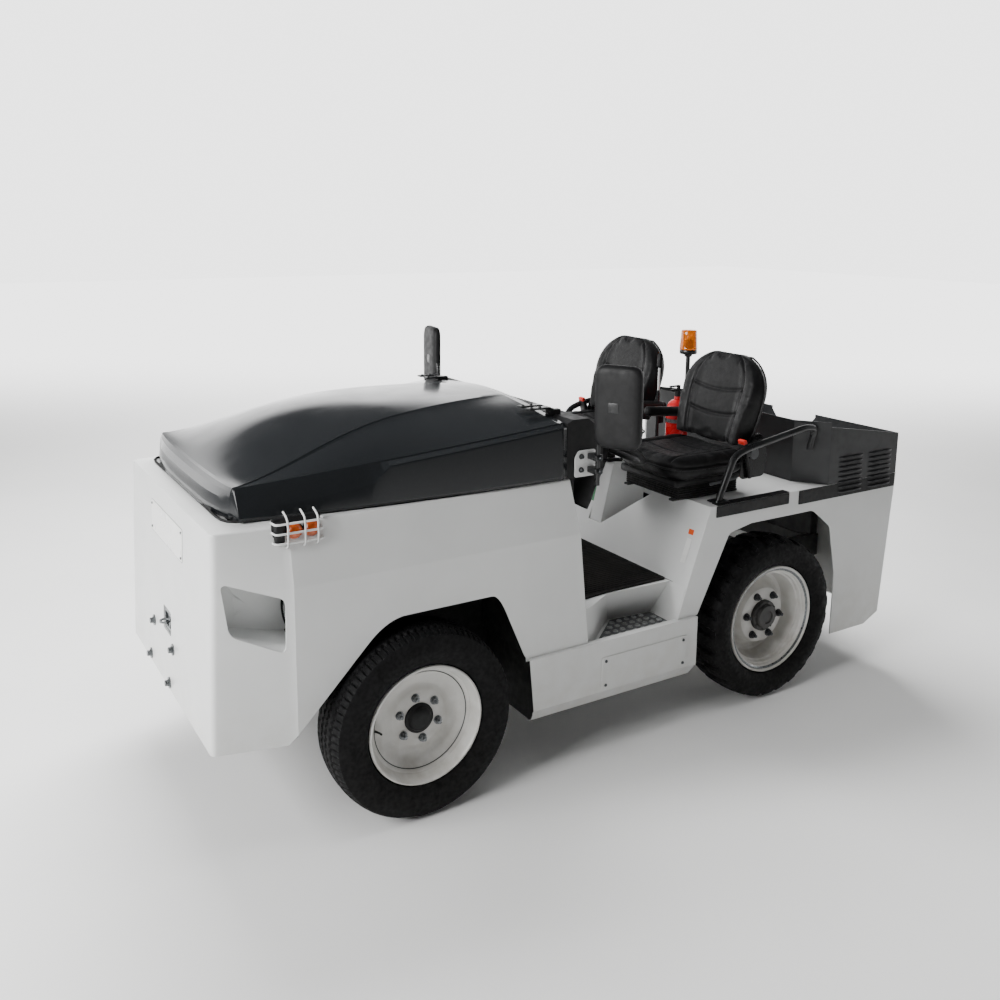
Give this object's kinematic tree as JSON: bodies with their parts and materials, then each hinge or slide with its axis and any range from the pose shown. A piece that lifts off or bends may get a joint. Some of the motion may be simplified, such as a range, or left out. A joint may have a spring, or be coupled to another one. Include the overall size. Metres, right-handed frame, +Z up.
{
  "type": "baggage tow tractor",
  "caption": "White electric airport baggage tug with an open two-seat cab, a dark hinged hood, a black equipment box behind the seats, steered front wheels and tow hitches at both ends.",
  "frame": {"origin": "Ground level, below the middle of the vehicle's length and width", "axes": "+X forward to the nose, +Y to the vehicle's left, +Z up"},
  "size_m": [3.333, 1.6606, 1.5753],
  "materials": {
    "white_paint": "satin",
    "wheel_enamel": "satin",
    "smoked_gloss": "gloss",
    "black_plastic": "textured matte",
    "black_steel": "satin",
    "satin_black": "satin",
    "chassis_paint": "matte",
    "grey_steel": "satin",
    "vinyl": "grained vinyl",
    "rubber": "matte",
    "tyre_rubber": "matte",
    "amber_lens": "gloss",
    "red_enamel": "gloss"
  },
  "bodies": {
    "chassis": {"front_body": "white_paint", "rear_body": "white_paint", "floor_pan": "white_paint", "side_sill_left": "white_paint", "side_sill_right": "white_paint", "dashboard": "black_plastic", "headlamp_left": "black_plastic", "headlamp_right": "black_plastic", "bulkhead": "black_plastic", "steering_column": "black_plastic", "centre_console": "black_plastic", "wheel_liner_left": "black_plastic", "wheel_liner_right": "black_plastic", "seat_base_left": "black_plastic", "seat_base_right": "black_plastic", "beacon": "black_plastic", "rear_box": "black_steel", "grab_rail_left": "satin_black", "grab_rail_right": "satin_black", "mirror_left": "satin_black", "mirror_right": "satin_black", "chassis_frame": "chassis_paint", "front_axle": "chassis_paint", "rear_axle": "chassis_paint", "front_hitch": "grey_steel", "rear_hitch": "grey_steel", "battery_pack": "grey_steel", "seat_cushion_left": "vinyl", "seat_cushion_right": "vinyl", "seat_back_left": "vinyl", "seat_back_right": "vinyl", "floor_mat": "rubber", "turn_lamp_left": "amber_lens", "turn_lamp_right": "amber_lens", "beacon_lens": "amber_lens", "extinguisher": "red_enamel"},
    "hood_lid": {"hood": "smoked_gloss"},
    "knuckle_left_body": {"knuckle_left": "chassis_paint"},
    "knuckle_right_body": {"knuckle_right": "chassis_paint"},
    "steering_wheel_body": {"steering_wheel": "black_plastic"},
    "front_wheel_left": {"front_tyre_left": "tyre_rubber", "front_rim_left": "wheel_enamel"},
    "front_wheel_right": {"front_tyre_right": "tyre_rubber", "front_rim_right": "wheel_enamel"},
    "rear_wheel_left": {"rear_tyre_left": "tyre_rubber", "rear_rim_left": "wheel_enamel"},
    "rear_wheel_right": {"rear_tyre_right": "tyre_rubber", "rear_rim_right": "wheel_enamel"}
  },
  "joints": [
    {"name": "hood_hinge", "type": "hinge", "parent": "chassis", "child": "hood_lid", "pos_m": [0.2745, 0, 1.371], "axis": [0, -1, 0], "range_deg": [0, 55]},
    {"name": "steer_left", "type": "hinge", "parent": "chassis", "child": "knuckle_left_body", "pos_m": [0.9285, 0.44, 0.35], "axis": [0, 0, 1], "range_deg": [-30, 30]},
    {"name": "steer_right", "type": "hinge", "parent": "chassis", "child": "knuckle_right_body", "pos_m": [0.9285, -0.44, 0.35], "axis": [0, 0, 1], "range_deg": [-30, 30]},
    {"name": "steering_wheel_turn", "type": "hinge", "parent": "chassis", "child": "steering_wheel_body", "pos_m": [-0.0895, 0.335, 1.185], "axis": [-0.5299, 0, 0.848], "range_deg": [-450, 450]},
    {"name": "front_wheel_left_roll", "type": "hinge", "parent": "knuckle_left_body", "child": "front_wheel_left", "pos_m": [0.9285, 0.6025, 0.35], "axis": [0, 1, 0], "continuous": true},
    {"name": "front_wheel_right_roll", "type": "hinge", "parent": "knuckle_right_body", "child": "front_wheel_right", "pos_m": [0.9285, -0.6025, 0.35], "axis": [0, 1, 0], "continuous": true},
    {"name": "rear_wheel_left_roll", "type": "hinge", "parent": "chassis", "child": "rear_wheel_left", "pos_m": [-0.8035, 0.56, 0.362], "axis": [0, 1, 0], "continuous": true},
    {"name": "rear_wheel_right_roll", "type": "hinge", "parent": "chassis", "child": "rear_wheel_right", "pos_m": [-0.8035, -0.56, 0.362], "axis": [0, 1, 0], "continuous": true}
  ],
  "couplings": [
    {"joint": "steer_right", "follows": "steer_left", "ratio": 1},
    {"joint": "steering_wheel_turn", "follows": "steer_left", "ratio": 15}
  ]
}
